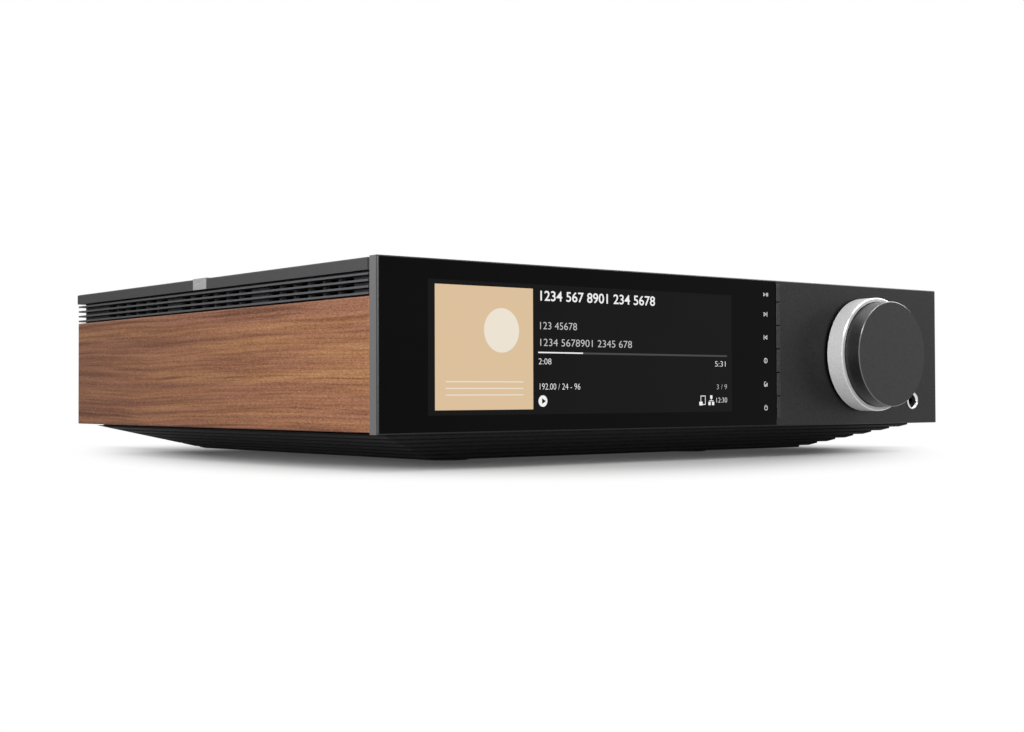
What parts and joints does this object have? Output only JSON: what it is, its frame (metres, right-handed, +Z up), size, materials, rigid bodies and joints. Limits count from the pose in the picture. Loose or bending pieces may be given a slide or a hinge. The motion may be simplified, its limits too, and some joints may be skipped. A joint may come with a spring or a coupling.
{
  "type": "streaming amplifier",
  "caption": "Low, wide hi-fi streaming amplifier with a colour display, a turned volume knob in a source ring, slotted side louvres, wooden side panels and a stepped base.",
  "frame": {"origin": "on the surface it stands on, under the middle of its overall width and depth", "axes": "+X to the right seen from the front, +Y from the front to the back, +Z up"},
  "size_m": [0.317, 0.2946, 0.0759],
  "materials": {
    "panel_metal": "bead blasted, black anodised",
    "display_glass": "black printed glass",
    "display": "matt",
    "plated_steel": "zinc plated",
    "circuit_board": "solder mask",
    "black_plastic": "moulded",
    "knob_black": "turned, black anodised",
    "ring_silver": "bead blasted, clear anodised",
    "bright_metal": "polished",
    "black_steel": "satin black",
    "cover_grey": "satin dark grey",
    "bare_aluminium": "brushed",
    "walnut": "oiled",
    "base_black": "satin black",
    "rubber": "matt",
    "gold_brass": "gold plated",
    "transformer": "varnished",
    "capacitor_sleeve": "shrunk sleeve",
    "heatsink_black": "black anodised",
    "key_grey": "satin anodised",
    "cap_black": "moulded",
    "cap_red": "moulded"
  },
  "bodies": {
    "chassis": {"front_panel": "panel_metal", "display_glass": "display_glass", "display_module": "display", "display_bracket": "plated_steel", "front_board": "circuit_board", "key_switches": "black_plastic", "encoder_body": "plated_steel", "encoder_nut": "plated_steel", "headphone_collar": "bright_metal", "headphone_jack": "black_plastic", "front_subpanel": "black_steel", "top_cover": "cover_grey", "cover_tab": "bare_aluminium", "louvre_rail_left": "cover_grey", "louvre_rail_right": "cover_grey", "catch_plates": "plated_steel", "chassis_tray": "plated_steel", "stepped_base": "base_black", "rubber_feet": "rubber", "foot_screws": "black_steel", "rear_panel": "black_steel", "rear_screws": "black_steel", "mains_inlet": "black_plastic", "speaker_block": "black_plastic", "speaker_posts": "gold_brass", "phono_sockets": "gold_brass", "control_jacks": "black_plastic", "antenna_sockets": "gold_brass", "hdmi_socket": "plated_steel", "usb_sockets": "plated_steel", "network_socket": "plated_steel", "optical_socket": "black_plastic", "board_standoffs": "bright_metal", "supply_board": "circuit_board", "supply_transformer": "transformer", "supply_capacitors": "capacitor_sleeve", "amplifier_board": "circuit_board", "heatsink": "heatsink_black", "main_board": "circuit_board", "shield_cans": "plated_steel"},
    "volume": {"volume_knob": "knob_black", "volume_shaft": "plated_steel"},
    "source": {"source_ring": "ring_silver", "source_shaft": "plated_steel"},
    "standby_key": {"key_standby": "key_grey"},
    "source_key": {"key_source": "key_grey"},
    "info_key": {"key_info": "key_grey"},
    "previous_key": {"key_previous": "key_grey"},
    "next_key": {"key_next": "key_grey"},
    "play_key": {"key_play": "key_grey"},
    "rocker": {"power_rocker": "black_plastic"},
    "cap_1": {"speaker_cap_1": "cap_black"},
    "cap_2": {"speaker_cap_2": "cap_red"},
    "cap_3": {"speaker_cap_3": "cap_black"},
    "cap_4": {"speaker_cap_4": "cap_red"},
    "shutter": {"optical_shutter": "black_plastic"},
    "left_panel": {"side_panel_left": "walnut", "left_panel_magnets": "bright_metal"},
    "right_panel": {"side_panel_right": "walnut", "right_panel_magnets": "bright_metal"}
  },
  "joints": [
    {"name": "volume_turn", "type": "hinge", "parent": "chassis", "child": "volume", "pos_m": [0.10378, -0.14726, 0.04477], "axis": [0, -1, 0], "continuous": true},
    {"name": "source_turn", "type": "hinge", "parent": "chassis", "child": "source", "pos_m": [0.10378, -0.14726, 0.04477], "axis": [0, -1, 0], "continuous": true},
    {"name": "standby_key_press", "type": "slide", "parent": "chassis", "child": "standby_key", "axis": [0, 1, 0], "range_m": [0, 0.0004], "stiffness_N_per_m": 2500, "springref_m": -0.0004},
    {"name": "source_key_press", "type": "slide", "parent": "chassis", "child": "source_key", "axis": [0, 1, 0], "range_m": [0, 0.0004], "stiffness_N_per_m": 2500, "springref_m": -0.0004},
    {"name": "info_key_press", "type": "slide", "parent": "chassis", "child": "info_key", "axis": [0, 1, 0], "range_m": [0, 0.0004], "stiffness_N_per_m": 2500, "springref_m": -0.0004},
    {"name": "previous_key_press", "type": "slide", "parent": "chassis", "child": "previous_key", "axis": [0, 1, 0], "range_m": [0, 0.0004], "stiffness_N_per_m": 2500, "springref_m": -0.0004},
    {"name": "next_key_press", "type": "slide", "parent": "chassis", "child": "next_key", "axis": [0, 1, 0], "range_m": [0, 0.0004], "stiffness_N_per_m": 2500, "springref_m": -0.0004},
    {"name": "play_key_press", "type": "slide", "parent": "chassis", "child": "play_key", "axis": [0, 1, 0], "range_m": [0, 0.0004], "stiffness_N_per_m": 2500, "springref_m": -0.0004},
    {"name": "rocker_tip", "type": "hinge", "parent": "chassis", "child": "rocker", "pos_m": [-0.0975, 0.12926, 0.04142], "axis": [1, 0, 0], "range_deg": [0, 14]},
    {"name": "cap_1_turn", "type": "hinge", "parent": "chassis", "child": "cap_1", "pos_m": [-0.065, 0.13096, 0.04142], "axis": [0, 1, 0], "range_deg": [0, 1080]},
    {"name": "cap_2_turn", "type": "hinge", "parent": "chassis", "child": "cap_2", "pos_m": [-0.046, 0.13096, 0.04142], "axis": [0, 1, 0], "range_deg": [0, 1080]},
    {"name": "cap_3_turn", "type": "hinge", "parent": "chassis", "child": "cap_3", "pos_m": [-0.02, 0.13096, 0.04142], "axis": [0, 1, 0], "range_deg": [0, 1080]},
    {"name": "cap_4_turn", "type": "hinge", "parent": "chassis", "child": "cap_4", "pos_m": [-0.001, 0.13096, 0.04142], "axis": [0, 1, 0], "range_deg": [0, 1080]},
    {"name": "shutter_swing", "type": "hinge", "parent": "chassis", "child": "shutter", "pos_m": [0.12892, 0.12766, 0.03472], "axis": [-1, 0, 0], "range_deg": [0, 80], "stiffness_Nm_per_rad": 0.0003, "springref_deg": -17.19},
    {"name": "left_panel_pull", "type": "slide", "parent": "chassis", "child": "left_panel", "axis": [-1, 0, 0], "range_m": [0, 0.02]},
    {"name": "right_panel_pull", "type": "slide", "parent": "chassis", "child": "right_panel", "axis": [1, 0, 0], "range_m": [0, 0.02]}
  ]
}
